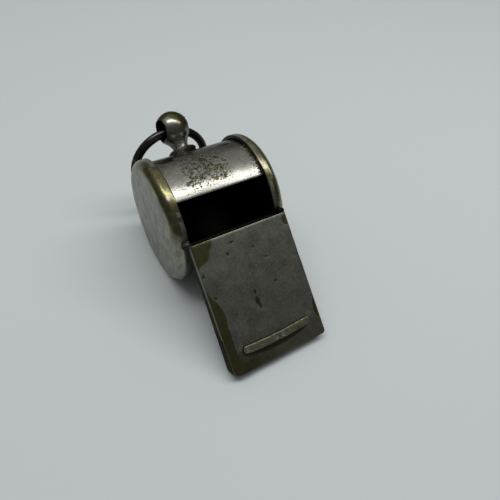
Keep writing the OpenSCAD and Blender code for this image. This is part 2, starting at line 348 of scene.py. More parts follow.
def less(bm, cutter):
    """The shape of bm with the space of cutter taken away."""
    objects = []
    for name, shape in (("shape", bm), ("cutter", cutter)):
        mesh = bpy.data.meshes.new(name)
        shape.to_mesh(mesh)
        shape.free()
        objects.append(bpy.data.objects.new(name, mesh))
        bpy.context.scene.collection.objects.link(objects[-1])
    shape, cutter = objects
    cut = shape.modifiers.new("cut", "BOOLEAN")
    cut.operation, cut.solver, cut.object = "DIFFERENCE", "EXACT", cutter
    depsgraph = bpy.context.evaluated_depsgraph_get()
    result = bmesh.new()
    result.from_mesh(shape.evaluated_get(depsgraph).data)
    for obj in objects:
        mesh = obj.data
        bpy.data.objects.remove(obj)
        bpy.data.meshes.remove(mesh)
    bmesh.ops.remove_doubles(result, verts=result.verts, dist=WELD)
    return result


def make_piece(bm, name, place, body, finishes, nodes, inner=None):
    """Turns a mesh into a finished piece that rides on a body and stands for CAD nodes.

    Faces that the inner test picks, in the piece's own frame, take the second finish."""
    bmesh.ops.recalc_face_normals(bm, faces=bm.faces)
    bm.normal_update()
    for face in bm.faces:
        face.smooth = True
        if inner and inner(face):
            face.material_index = 1
    for edge in bm.edges:
        edge.smooth = edge.calc_face_angle(math.pi) < SHARP
    bm.transform(place)
    if place.determinant() < 0:
        bmesh.ops.reverse_faces(bm, faces=bm.faces)
    mesh = bpy.data.meshes.new(name)
    bm.to_mesh(mesh)
    bm.free()
    for finish in finishes:
        mesh.materials.append(finish)
    obj = bpy.data.objects.new(name, mesh)
    bpy.context.scene.collection.objects.link(obj)
    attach(obj, body)
    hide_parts(*nodes)


# ---- shader maths

def times(tone, factor):
    """A colour made brighter or darker."""
    return [c * factor for c in tone]


class Shade:
    """A value, colour or vector in a finish's node tree. Arithmetic on it adds Math nodes."""

    def __init__(self, finish, socket):
        self.finish = finish
        self.socket = socket

    def calc(self, operation, *values):
        """A Math node."""
        return self.finish.node("ShaderNodeMath", {"operation": operation}, dict(enumerate(values)))

    def __add__(self, other):
        return self.calc("ADD", self, other)

    __radd__ = __add__

    def __sub__(self, other):
        return self.calc("SUBTRACT", self, other)

    def __rsub__(self, other):
        return self.calc("SUBTRACT", other, self)

    def __mul__(self, other):
        return self.calc("MULTIPLY", self, other)

    __rmul__ = __mul__

    def __abs__(self):
        return self.calc("ABSOLUTE", self)

    def most(self, other):
        """The larger of two values."""
        return self.calc("MAXIMUM", self, other)

    def least(self, other):
        """The smaller of two values."""
        return self.calc("MINIMUM", self, other)

    def step(self, low, high):
        """A smooth step from 0 at low to 1 at high."""
        return self.finish.node("ShaderNodeMapRange", {"interpolation_type": "SMOOTHSTEP"},
                                {"Value": self, "From Min": low, "From Max": high})

    def within(self, low, high, soft):
        """1 between low and high, falling to 0 over the width soft outside them."""
        return self.step(low - soft, low) * (1 - self.step(high, high + soft))

    def parts(self):
        """The three parts of a vector."""
        split = self.finish.node("ShaderNodeSeparateXYZ", {}, {0: self}).socket.node
        return [Shade(self.finish, output) for output in split.outputs]


class Finish:
    """One material's node tree. Each call adds one node or a small named group of them."""

    def __init__(self, name):
        self.material = bpy.data.materials.new(name)
        self.material.use_nodes = True
        self.tree = self.material.node_tree
        self.shader = self.tree.nodes["Principled BSDF"]
        self.place = self.node("ShaderNodeTexCoord", {}, {}, "Object")

    def vector(self, operation, *values, output=0):
        """A Vector Math node."""
        return self.node("ShaderNodeVectorMath", {"operation": operation}, dict(enumerate(values)), output)

    def node(self, kind, settings, inputs, output=0):
        """Adds a node: its settings first, then the values or links of its sockets."""
        made = self.tree.nodes.new(kind)
        for key, value in settings.items():
            setattr(made, key, value)
        for key, value in inputs.items():
            self.feed(made.inputs[key], value)
        return Shade(self, made.outputs[output])

    def feed(self, socket, value):
        """Links a shade to a socket, or sets the socket's own value."""
        if isinstance(value, Shade):
            self.tree.links.new(value.socket, socket)
        elif hasattr(value, "__len__") and len(value) == 3 and len(socket.default_value) == 4:
            socket.default_value = (*value, 1)
        else:
            socket.default_value = value

    def set(self, **sockets):
        """Feeds the shader's sockets: underscores in the names stand for spaces."""
        for name, value in sockets.items():
            self.feed(self.shader.inputs[name.replace("_", " ")], value)

    def blend(self, mask, low, high):
        """A colour that goes from low to high as mask goes from 0 to 1."""
        return self.node("ShaderNodeMix", {"data_type": "RGBA"}, {0: mask, 6: low, 7: high}, 2)

    def shades(self, mask, tone, low, high):
        """A tone that goes from low times to high times its strength as mask goes from 0 to 1."""
        return self.blend(mask, times(tone, low), times(tone, high))

    def tint(self, shade, tone, base):
        """A colour multiplied by the ratio of a tone to its base."""
        return self.vector("MULTIPLY", shade, self.vector("DIVIDE", tone, tuple(base)))

    def vary(self, size, detail=3, seed=0.0, place=None, roughness=0.55, distortion=0):
        """Cloudy noise from 0 to 1, with patches of about that size in mm."""
        inputs = {"Vector": place or self.place, "W": seed, "Scale": 1 / (size * MM), "Detail": detail,
                  "Roughness": roughness, "Distortion": distortion}
        return self.node("ShaderNodeTexNoise", {"noise_dimensions": "4D"}, inputs, "Fac")

    def stray(self, size, detail, seed, reach=1.0):
        """Noise that strays by half its reach to both sides of nought."""
        return (self.vary(size, detail, seed) - 0.5) * reach

    def patches(self, size, detail, seed, low, high):
        """Noise turned into patches: 0 where it is below low and 1 where it is above high."""
        return self.vary(size, detail, seed).step(low, high)

    def stretch(self, scale, place=None):
        """The place scaled along its axes, which draws noise out along the small ones."""
        return self.vector("MULTIPLY", place or self.place, scale)

    def local(self, rotation, origin):
        """The place measured from an origin in a turned frame."""
        return self.node("ShaderNodeMapping", {"vector_type": "TEXTURE"},
                         {"Vector": self.place, "Location": origin, "Rotation": rotation})

    def spot(self, place, centre, half, ragged, edge=0.15):
        """A ragged oval patch: 1 inside, 0 outside. On a flat place, two half sizes are enough."""
        centre, half = (*centre, 0)[:3], (*half, 1.0)[:3]
        away = self.vector("SUBTRACT", place, centre)
        length = self.length(self.stretch([1 / h for h in half], away))
        return 1 - (length + ragged).step(1 - edge, 1 + edge)

    def length(self, vector):
        """The length of a vector."""
        return self.vector("LENGTH", vector, output="Value")

    def bump(self, height, depth):
        """Feeds the normal from a height of 0 to 1 that stands for a real depth."""
        made = self.node("ShaderNodeBump", {}, {"Height": height, "Distance": depth, "Strength": 1})
        self.feed(self.shader.inputs["Normal"], made)


# ---- places of wear

# Brown patches on the band: angle round the drum in degrees, place along it and half sizes in mm
BAND_PATCHES = [(at, along * MM, in_mm(*half)) for at, along, half in (
    (111, -6.0, (0.9, 1.6)), (112, 5.4, (0.7, 1.1)), (72, -4.6, (0.3, 0.35)), (97, 8.9, (2.2, 0.6)))]

# Brass patches on the plate: place along and across it, and half sizes
PLATE_PATCHES = (((PLATE_REAR, -PLATE_HALF), in_mm(3.8, 3.5)),
                 (in_mm(22.8, 9.1), in_mm(1.9, 1.0)),
                 (in_mm(6.6, 8.5), in_mm(0.9, 0.85)))

# Pits in the plate, each with a dent round it: place along and across it, and half sizes, in mm
PLATE_PITS = [(in_mm(*at), in_mm(*half)) for at, half in (
    ((6.9, -2.2), (0.2, 0.36)), ((8.4, -3.4), (0.32, 0.25)), ((8.8, 1.2), (0.26, 0.2)),
    ((11.1, 2.8), (0.2, 0.24)), ((17.4, -1.15), (0.75, 0.42)), ((18.3, -0.9), (0.5, 0.28)),
    ((15.9, -1.1), (0.4, 0.2)), ((15.4, 3.1), (0.25, 0.25)), ((10.4, -8.4), (0.3, 0.25)),
    ((9.4, 8.75), (0.4, 0.25)), ((12.6, 8.8), (0.4, 0.3)), ((14.3, -7.7), (0.25, 0.3)))]

# Wide shallow dents in the plate: place along and across it, and width, in mm
PLATE_DENTS = ((12.0, 5.0, 3.0), (19.5, 3.5, 3.5), (9.5, -5.5, 2.5), (26.6, -4.0, 2.0))

# How much the plate's half width grows for each metre towards its tip
PLATE_TAPER = 0.0112
# Middle of the dark solder fillet and painted shadow round the bite ridge
RIDGE_SEAM = (RIDGE_REAR + 0.9 * MM, -0.1 * MM)
# Middle of the plated patch on the ball
BALL_FRONT = DRUM + STUD * BALL_AT + Vector((0.64, -0.50, 0.50)) * BALL_R
# Colours: between the caps' scratches, their smudges, the plate's rear edge and its old bare brass
SMOKE, SMUDGE = (0.012, 0.011, 0.008), (0.05, 0.046, 0.034)
REAR_EDGE, OLD_BRASS = (0.17, 0.16, 0.11), (0.034, 0.024, 0.009)


# ---- finishes

def drum_polar(finish):
    """Distance from the drum's axis, angle above +X in degrees, and distance along the axis."""
    place = finish.local((0, 0, 0), DRUM)
    x, y, z = place.parts()
    radius = finish.length(finish.stretch((1, 0, 1), place))
    angle = finish.node("ShaderNodeMath", {"operation": "ARCTAN2"}, {0: z, 1: x}) * math.degrees(1)
    return radius, angle, y


def duct_place(finish):
    """The place along, across and square to the mouthpiece, measured from the drum's axis."""
    return finish.local((0, SLOPE, 0), DRUM)


def finish_metal(finish, base, rough, height, depth, edge=(0.6, 0.6, 0.58)):
    """Feeds a metal's varying sockets, and tints its glancing reflections."""
    finish.set(Base_Color=base, Roughness=rough, Metallic=1.0, IOR=1.5, Specular_Tint=edge)
    finish.bump(height, depth)
    return finish.material


def worn_plate(finish, tone, brass, mask, tarnish, pits_and_shade):
    """The metal's colour: cloudy plate, brass where mask says, and dark tarnish where the last mask says, which
    holds real pitting and, from most callers, painted shade.
    """
    clouds = finish.patches(2.6, 4, 1.3, 0.3, 0.72) * 0.45
    grain = finish.patches(0.55, 4, 4.1, 0.28, 0.75) * 0.3 + finish.vary(0.17, 2, 8.1) * 0.3
    plate = finish.shades(clouds + grain, tone, 0.62, 1.36)
    rub = finish.patches(0.8, 4, 2.7, 0.3, 0.75) * 0.65 + finish.vary(0.2, 2, 6.4) * 0.35
    bare = finish.blend(rub, [brass[0] * 0.50, brass[1] * 0.46, brass[2] * 0.42], times(brass, 1.35))
    return finish.blend(pits_and_shade, finish.blend(mask, plate, bare), tarnish)


def cap_finish(look):
    """Grey plate with upright scratches, brass on the worn outer edge, and painted shade in the crease at the
    inner lip and on the rim's lower part.
    """
    finish = Finish("cap_plate")
    radius, angle, y = drum_polar(finish)
    side = abs(y)
    cloud = finish.vary(1.5, 5, 7.7)
    ragged = (cloud - 0.5) * 2.4 * MM
    left = 1 - y.step(-MM, MM)
    wander = finish.stray(1.6, 4, 2.5, 44)
    full = (angle + wander).within(46, 98, 5) * (left * 0.35 + 0.65)
    high = (angle + wander * 0.6).within(36, 150, 12)
    edge = (radius + ragged * 0.35).step(CAP_R - 1.1 * MM, CAP_R - 0.8 * MM)
    band = (side + ragged * 0.3).within(RIM_IN + 1.0 * MM, CAP_OUT + MM, 0.25 * MM)
    broken = finish.patches(1.3, 3, 4.7, 0.30, 0.42)
    low_spot = angle.within(-56, -24, 6) * (radius + ragged).step(CAP_R - 1.7 * MM, CAP_R - 1.3 * MM)
    rim_spot = angle.within(55, 61, 4) * side.within(RIM_IN + 0.1 * MM, RIM_IN + 1.0 * MM, 0.2 * MM)
    low_edge = (angle + wander).within(8, 50, 8) * band * 0.3
    mask = (edge * broken * high.most(full)).least(band.most(full)).most(low_spot * broken * 0.8)
    mask = mask.most(rim_spot * (1 - left)).most(low_edge * edge) * look.wear
    upright = finish.vary(0.15, 3, 9.2, finish.stretch((1, 1, 0.06)))
    crossed = finish.vary(0.11, 2, 3.2, finish.stretch((0.5, 1, 0.5)))
    specks = finish.patches(0.42, 4, 12.0, 0.625, 0.69) * 0.7
    # Painted shade: the inner lip, where the cap meets the band, darkened as the crease's shade
    lip = (1 - side.step(RIM_IN + 0.1 * MM, RIM_IN + 0.22 * MM)) * 0.88
    rim = radius.step(CAP_R - 0.25 * MM, CAP_R - 0.12 * MM)
    rim = rim * (1 - side.step(CAP_OUT - 1.9 * MM, CAP_OUT - 1.4 * MM))
    # Painted shade: the rim darker on its lower part, below about 30 to 66 degrees round the drum
    low_rim_shade = (1 - (angle + (cloud - 0.5) * 30 + left * 8).step(30, 66)) * rim * 0.52
    dark = specks.most(lip).most(low_rim_shade)
    face = worn_plate(finish, times(look.nickel, 1.12), look.brass, mask, look.tarnish, dark)
    streaks = upright.step(0.32, 0.66) * look.scratches + (1 - look.scratches)
    smoky = finish.vary(1.1, 5, 18.0, finish.stretch((1, 1, 0.45)), 0.65).step(0.42, 0.66) * 0.5
    scratched = finish.blend(streaks, finish.blend(0.45, face, SMOKE), face)
    base = finish.blend(smoky, scratched, SMUDGE)
    rough = 0.27 + upright * 0.14 + finish.vary(1.9, 3, 5.5) * 0.14 - mask * 0.2
    height = upright * 0.5 + crossed * 0.2 + finish.vary(0.6, 4, 6.6) * 0.6 - specks - mask * 0.4
    return finish_metal(finish, base, rough, height, 0.016 * MM, (1, 1, 0.97))


def band_finish(look):
    """Grey plate with a crowd of brown and dark specks on its middle, brown patches at the top, and a brighter
    tone near the sounding lip, partly polish and partly painted highlight.
    """
    finish = Finish("band_plate")
    radius, angle, y = drum_polar(finish)
    crowd = angle.within(74, 97, 20) * y.within(-3.6 * MM, 1.4 * MM, 4.2 * MM)
    fringe = angle.within(62, 94, 8) * y.step(6.2 * MM, 7.8 * MM)
    coarse = finish.vary(0.62, 5, 2.2, None, 0.7)
    fine = finish.vary(0.3, 3, 8.4, None, 0.6)
    stains = (coarse + crowd * 0.155).step(0.665, 0.69)
    specks = (fine + crowd * 0.15 + fringe * 0.17).step(0.67, 0.71)
    ragged = finish.stray(1.2, 4, 21.0, 3.2)
    spread = finish.node("ShaderNodeCombineXYZ", {}, {0: radius * angle * math.radians(1), 1: y, 2: 0.0})
    patches = 0.0
    for at, along, half in BAND_PATCHES:
        patches = finish.spot(spread, (SKIN_R * math.radians(at), along), half, ragged * 0.3).most(patches)
    top = angle.step(125, 150) * 0.5
    brown = [0.36 * b + 0.6 * t for b, t in zip(look.brass, look.tarnish)]
    # Brighter near the sounding lip, darker above: partly polish from handling, partly a painted highlight that
    # keeps the sheen at the lip
    polished_and_highlight = 1 - (angle + ragged * 2).step(61, 70)
    tone = finish.shades(polished_and_highlight, look.nickel, 0.74, 0.9)
    plate = worn_plate(finish, look.nickel, look.brass, top * look.wear, look.tarnish, 0.0)
    plate = finish.tint(plate, tone, look.nickel)
    rust = finish.blend(finish.patches(0.5, 3, 1.9, 0.35, 0.65), times(brown, 0.6), brown)
    stained = finish.blend(stains * 0.92, plate, rust)
    stained = finish.blend(patches * 0.9, stained, times(look.tarnish, 1.3))
    base = finish.blend(specks * 0.9, stained, look.tarnish)
    hoops = finish.vary(0.13, 3, 31.0, finish.stretch((1, 0.06, 1)))
    rough = 0.18 + specks * 0.3 + stains * 0.16 + finish.vary(0.9, 4, 6.2) * 0.12 + hoops * 0.06
    height = hoops * 0.25 + finish.vary(0.6, 4, 3.9) * 0.5 - specks - stains * 0.6
    return finish_metal(finish, base, rough, height, 0.018 * MM)


def plate_finish(look):
    """Dark tarnished plate with ragged brass patches along its edges and a brassy tip, a painted shadow before the
    bite ridge, painted shade on the tip's cut edge and a painted highlight on the flange sides.
    """
    finish = Finish("mouthpiece_plate")
    place = duct_place(finish)
    s, y, n = place.parts()
    flat = finish.stretch((1, 1, 0), place)
    ragged = finish.stray(1.5, 5, 3.1, 1.5)
    mask = 0.0
    for centre, half in PLATE_PATCHES:
        mask = finish.spot(flat, centre, half, ragged * 0.35, 0.05).most(mask)
    strip = s.step(11.3 * MM, 17.5 * MM) * 1.9 * MM - s.step(17.5 * MM, 20 * MM) * 0.25 * MM
    mask = (1 - (y + PLATE_HALF - strip + ragged * 0.5 * MM).step(-0.06 * MM, 0.06 * MM)).most(mask)
    blotch = finish.vary(1.3, 5, 8.8)
    tip = (s + (blotch - 0.5) * 9 * MM).step(PLATE_TIP - 4.6 * MM, PLATE_TIP - 1.2 * MM)
    left = 1 - (y + (blotch - 0.5) * 6 * MM).step(-7.5 * MM, 3 * MM)
    half_here = PLATE_HALF - (PLATE_TIP - s) * PLATE_TAPER
    rim = 1 - ((half_here - abs(y)) + ragged * 0.1 * MM).step(0.02 * MM, 0.16 * MM)
    rear = 1 - (s + ragged * 0.06 * MM).step(PLATE_REAR + 0.07 * MM, PLATE_REAR + 0.17 * MM)
    mask = mask.most(tip * (0.42 + left * 0.58)).most(rim * 0.2).most(rear * 0.8) * look.wear
    pits_and_shade = finish.patches(0.34, 3, 17.0, 0.66, 0.74) * 0.4
    for centre, half in PLATE_PITS:
        pits_and_shade = pits_and_shade.most(finish.spot(flat, centre, half, ragged * 0.9, 0.4) * 0.8)
    # Partly the solder fillet, partly the bite ridge's painted shadow on the plate in front of it; nothing behind
    # the ridge
    fillet = finish.spot(flat, RIDGE_SEAM, in_mm(1.75, 6.8), ragged * 0.12, 0.12) * 0.85
    fillet = fillet * s.step(RIDGE_SEAM[0] - 0.5 * MM, RIDGE_SEAM[0])
    # A thin dark ring round the ridge's seam, kept to its front left part
    seam = finish.spot(flat, RIDGE_SEAM, in_mm(1.85, 7.2), ragged * 0.1, 0.05)
    front_seam_line = seam - finish.spot(flat, RIDGE_SEAM, in_mm(1.7, 7.1), ragged * 0.1, 0.05)
    front_seam_line = front_seam_line.most(0.0) * s.step(24.6 * MM, 24.9 * MM) * (1 - y.step(-1.5 * MM, MM))
    pits_and_shade = pits_and_shade.most(fillet).most(front_seam_line * 0.8)
    side = 1 - n.step(PLATE_TOP - 0.36 * MM, PLATE_TOP - 0.2 * MM)
    mask = mask * (1 - side * 0.85)
    # Painted shade on the tip's cut edge
    cut = s.step(PLATE_TIP - 0.16 * MM, PLATE_TIP - 0.08 * MM)
    pits_and_shade = pits_and_shade.most(cut * 0.85)
    dull = finish.blend(rear, times(look.brass, 0.5), REAR_EDGE)
    grain = finish.vary(0.14, 3, 11.0)
    clouds = finish.patches(2.6, 4, 1.3, 0.3, 0.72) * 0.4
    mottle = finish.patches(0.36, 4, 4.1, 0.3, 0.7) * 0.35 + finish.vary(0.15, 2, 8.1) * 0.25
    plate = finish.shades(clouds + mottle, look.dull_nickel, 0.5, 1.38)
    glints = finish.patches(0.26, 2, 27.0, 0.65, 0.73) * 0.5
    ends = finish.spot(flat, in_mm(23.7, -6.5), in_mm(1.0, 0.4), ragged * 0.5, 0.3)
    ends = ends.most(finish.spot(flat, in_mm(23.1, 6.8), in_mm(0.5, 0.4), ragged * 0.5, 0.3))
    # Painted glints, lighter spots at the ridge's ends, and a painted highlight on the flange sides, all in
    # lighter nickel
    plate = finish.blend(glints.most(ends * 0.6).most(side * 0.8), plate, look.nickel)
    bare = finish.blend(finish.patches(0.5, 4, 2.7, 0.3, 0.75) * 0.5, dull, OLD_BRASS)
    base = finish.blend(pits_and_shade, finish.blend(mask, plate, bare), look.tarnish)
    brushed = finish.vary(0.12, 3, 13.0, finish.stretch((0.07, 1, 1), place))
    rough = 0.33 + grain * 0.10 + finish.vary(1.4, 3, 5.1) * 0.10 - mask * 0.03
    height = grain * 0.6 + brushed * 0.2 + finish.vary(0.7, 4, 19.0) * 0.6 - pits_and_shade * 0.8 - mask * 0.35
    return finish_metal(finish, base, rough, height, 0.036 * MM)


def tray_finish(look):
    """Grey plate of the mouthpiece's sides and underside, rubbed brassy at its tip, with painted shade on the
    tip's cut edge.
    """
    finish = Finish("tray_plate")
    s = duct_place(finish).parts()[0]
    ragged = finish.stray(1.2, 4, 5.2, 2)
    mask = (s + ragged * 1.5 * MM).step(TRAY_TIP - 3 * MM, TRAY_TIP - 1 * MM) * 0.5
    mask = mask.most(finish.patches(1.9, 4, 6.3, 0.62, 0.7) * 0.4) * look.wear
    # Painted shade on the tip's cut edge
    cut = s.step(TRAY_TIP - 0.2 * MM, TRAY_TIP - 0.1 * MM) * 0.9
    pits_and_shade = (finish.patches(0.4, 3, 14.0, 0.68, 0.76) * 0.5).most(cut)
    tone = [(a * 0.3 + b * 0.7) * 0.5 for a, b in zip(look.nickel, look.dull_nickel)]
    base = worn_plate(finish, tone, look.brass, mask, look.tarnish, pits_and_shade)
    brushed = finish.vary(0.12, 3, 23.0, finish.stretch((0.08, 1, 1)))
    rough = 0.36 + finish.vary(1.2, 3, 5.1) * 0.18
    height = brushed * 0.4 + finish.vary(0.7, 3, 8.0) * 0.5 - pits_and_shade
    return finish_metal(finish, base, rough, height, 0.014 * MM, (0.2, 0.2, 0.19))


def stud_finish(look):
    """Dark plate on the stud, brass on the ball's crown, lighter spots on the neck and a light line on the foot's
    left edge as painted highlight, and the foot darkened, most on its right, as painted shade.
    """
    finish = Finish("stud_plate")
    place = finish.vector("SUBTRACT", finish.place, DRUM)
    out = finish.vector("DOT_PRODUCT", place, STUD, output="Value")
    ragged = finish.stray(1.0, 4, 2.9, 2)
    plated = finish.spot(finish.place, BALL_FRONT, in_mm(2.1, 1.9, 2.2), ragged * 0.25, 0.14)
    crown = (out + ragged * 0.4 * MM).step(BALL_AT - 1.6 * MM, BALL_AT - 0.6 * MM)
    patchy = finish.patches(0.4, 3, 1.0, 0.4, 0.6)
    # Painted highlight: lighter patchy spots round the neck
    neck = out.within(BALL_AT - 3.9 * MM, BALL_AT - 3.1 * MM, 0.3 * MM) * patchy
    mask = ((1 - plated) * crown).most(finish.patches(0.9, 4, 9.9, 0.6, 0.7) * 0.35) * look.wear
    # Painted shade: the foot's side, its top near the edge and its right side darkened
    foot = 1 - out.step(FOOT_LOW + 0.45 * MM, FOOT_LOW + 0.53 * MM)
    shade = 1 - out.step(FOOT_LOW + 0.66 * MM, FOOT_LOW + 1.2 * MM)
    y = place.parts()[1]
    right = (y + ragged * 0.5 * MM).step(-0.8 * MM, 0.6 * MM)
    # Painted highlight: a light line along the foot's top edge, on its left
    rim = out.within(FOOT_LOW + 0.52 * MM, FOOT_LOW + 0.6 * MM, 0.05 * MM) * (1 - right)
    top = shade * out.step(FOOT_LOW + 0.58 * MM, FOOT_LOW + 0.62 * MM) * 0.65
    pits_and_shade = (finish.patches(0.35, 3, 6.0, 0.66, 0.74) * 0.6).most(foot * (0.55 + right * 0.43)).most(top)
    pits_and_shade = pits_and_shade.most(right * (1 - out.step(FOOT_LOW + 0.62 * MM, FOOT_LOW + 0.7 * MM)) * 0.95)
    brass = times(look.brass, 0.62)
    base = worn_plate(finish, times(look.dull_nickel, 1.05), brass, mask, look.tarnish, pits_and_shade)
    base = finish.blend((neck * 0.1).most(rim).most(plated * 0.3), base, look.nickel)
    rough = 0.17 + finish.vary(0.8, 3, 5.1) * 0.12 + foot * 0.3 + shade * 0.2 + neck * 0.2
    height = finish.vary(0.5, 3, 8.0) * 0.6 - pits_and_shade
    return finish_metal(finish, base, rough, height, 0.014 * MM)


def ridge_finish(look):
    """Dark plate with a worn brassy top, a lighter line round its top edges, partly rubbed and partly painted
    highlight, and painted shade on its lower sides.
    """
    finish = Finish("ridge_plate")
    s, y, n = duct_place(finish).parts()
    ragged = finish.stray(0.9, 4, 4.4, 2)
    top = (n + ragged * 0.12 * MM).step(RIDGE_LOW + 0.2 * MM, RIDGE_TOP - 0.1 * MM)
    ends = (abs(y) + ragged * 1.5 * MM).step(RIDGE_HALF - 2 * MM, RIDGE_HALF)
    pits_and_shade = finish.patches(0.3, 3, 3.0, 0.52, 0.68) * 0.75
    mask = (top * 0.5 + ends * 0.2) * look.wear
    # Painted shade: the ridge's lower sides darkened
    low = 1 - (n + ragged * 0.05 * MM).step(RIDGE_TOP - 0.36 * MM, RIDGE_TOP - 0.22 * MM)
    # Lighter nickel along the top edges: partly rubbed metal, partly a painted highlight
    edges = n.within(RIDGE_TOP - 0.2 * MM, RIDGE_TOP - 0.08 * MM, 0.04 * MM)
    rubbed = edges * finish.patches(0.35, 3, 2.0, 0.42, 0.56)
    base = worn_plate(finish, look.dull_nickel, look.brass, mask, look.tarnish, pits_and_shade.most(low * 0.85))
    base = finish.blend(rubbed * 0.9, base, times(look.nickel, 1.2))
    rough = 0.34 + finish.vary(0.35, 3, 5.1) * 0.3
    height = finish.vary(0.28, 4, 8.0) - pits_and_shade
    return finish_metal(finish, base, rough, height, 0.045 * MM)


def solder_finish(look):
    """Dull grey solder with a lumpy skin, darkened on the right, also round the stud, by painted shade."""
    finish = Finish("soft_solder")
    clouds = finish.patches(0.8, 4, 2.0, 0.3, 0.7)
    y = finish.place.parts()[1]
    # Painted shade: very dark on the right side
    right_shade = (y + (clouds - 0.5) * 2 * MM).step(-1.6 * MM, 0.2 * MM)
    grey = finish.shades(clouds, look.solder, 0.18, 0.42)
    base = finish.blend(right_shade * 0.96, grey, times(look.tarnish, 0.2))
    rough = 0.46 + finish.vary(0.5, 3, 7.0) * 0.2
    return finish_metal(finish, base, rough, finish.vary(0.4, 4, 3.0), 0.05 * MM)


def wire_finish(look):
    """Blackened steel wire, rubbed a little lighter in places."""
    finish = Finish("black_wire")
    rubbed = finish.patches(1.3, 4, 2.0, 0.42, 0.75) * 0.6 + finish.vary(0.2, 3, 5.0) * 0.4
    base = finish.shades(rubbed, look.wire, 0.4, 1.7)
    rough = 0.16 + finish.vary(0.5, 3, 7.0) * 0.22
    return finish_metal(finish, base, rough, finish.vary(0.3, 4, 3.0), 0.014 * MM)


def inside_finish(look):
    """Very dark inside the drum and the mouthpiece, partly oxide and partly painted shade, which their pieces
    share.
    """
    if "inside_oxide_and_shade" in bpy.data.materials:
        return bpy.data.materials["inside_oxide_and_shade"]
    finish = Finish("inside_oxide_and_shade")
    clouds = finish.patches(1.2, 4, 2.0, 0.3, 0.7)
    base = finish.shades(clouds, look.inside, 0.6, 1.4)
    finish.set(Base_Color=base, Roughness=0.72 + finish.vary(0.5, 3, 7.0) * 0.2, Specular_IOR_Level=0.0)
    finish.bump(finish.vary(0.35, 4, 3.0), 0.03 * MM)
    return finish.material


def cork_finish(look):
    """Old dark cork, darkened further as painted shade: grains and pores."""
    finish = Finish("old_cork_and_shade")
    grain = finish.vary(0.55, 4, 2.0)
    pores = finish.vary(0.9, 3, 6.0, None, 0.7, 1.5).step(0.60, 0.70)
    base = finish.shades(grain.step(0.3, 0.7), look.cork, 0.6, 1.5)
    base = finish.blend(pores, base, times(look.cork, 0.2))
    finish.set(Base_Color=base, Roughness=0.8 + grain * 0.15, Specular_IOR_Level=0.25)
    finish.bump(grain * 0.4 - pores, 0.12 * MM)
    return finish.material


# ---- pieces

def settings():
    """The scene's sizes and finishes."""
    scene = bpy.context.scene
    return scene.whistle_sizes, scene.whistle_finish


class WHISTLE_OT_drum_band(bpy.types.Operator):
    """Models the band round the drum, with its sounding lip and the wall under the mouthpiece"""

    bl_idname = "whistle.drum_band"
    bl_label = "Drum Band"

    def execute(self, context):
        sizes, look = settings()
        inner_r = SKIN_R - sizes.skin_sheet
        start = math.asin(PLATE_REAR / SKIN_R)
        lip = math.asin((PLATE_REAR - sizes.window_length) / SKIN_R)
        outline = [*line((SKIN_R, -SKIN_HALF), (SKIN_R, SKIN_HALF), 48), (SKIN_R, SKIN_HALF),
                   *line((inner_r, SKIN_HALF), (inner_r, -SKIN_HALF), 48), (inner_r, -SKIN_HALF)]
        bm = bmesh.new()
        verts = [bm.verts.new((radius, 0, along)) for radius, along in outline]
        bmesh.ops.rotate(bm, verts=verts, matrix=Matrix.Rotation(start, 3, "Z"))
        edges = [bm.edges.new(pair) for pair in zip(verts, verts[1:] + verts[:1])]
        bmesh.ops.spin(bm, geom=verts + edges, cent=(0, 0, 0), axis=(0, 0, 1),
                       angle=math.tau + lip - start, steps=BAND_STEPS)
        close_ends(bm)

        def along_lip(edge):
            """Whether an edge runs along the drum's axis, away from the caps."""
            a, b = (v.co for v in edge.verts)
            return abs(a.z) + abs(b.z) < 1.9 * SKIN_HALF and abs(a.xy.length - b.xy.length) < WELD

        round_edges(bm, sizes.lip_edge, 3, along_lip)
        ripple(bm, 4 * MM, sizes.unevenness, 3.1)
        wall = bmesh.ops.create_cube(bm, size=1)["verts"]
        floor = TRAY_LOW + sizes.duct_sheet
        low = math.sqrt(inner_r ** 2 - PLATE_REAR ** 2)
        middle = ((floor + low) / 2, PLATE_REAR + sizes.skin_sheet / 2, 0)
        bmesh.ops.scale(bm, verts=wall, vec=(floor - low, sizes.skin_sheet, 2 * RIM_IN - 0.06 * MM))
        bmesh.ops.translate(bm, verts=wall, vec=middle)
        finishes = [band_finish(look), inside_finish(look)]
        make_piece(bm, "drum_band", DRUM_FRAME, "whistle", finishes, ["drum_skin"],
                   lambda f: mid(f).xy.length < SKIN_R - 0.2 * MM
                   or abs(mid(f).y - middle[1]) < sizes.skin_sheet)
        return {"FINISHED"}


# Points across a cap's dome and round its edge, and the power that makes the edge's bend tighter than round
DOME_STEPS, EDGE_STEPS, EDGE_POWER = 22, 14, 1.35


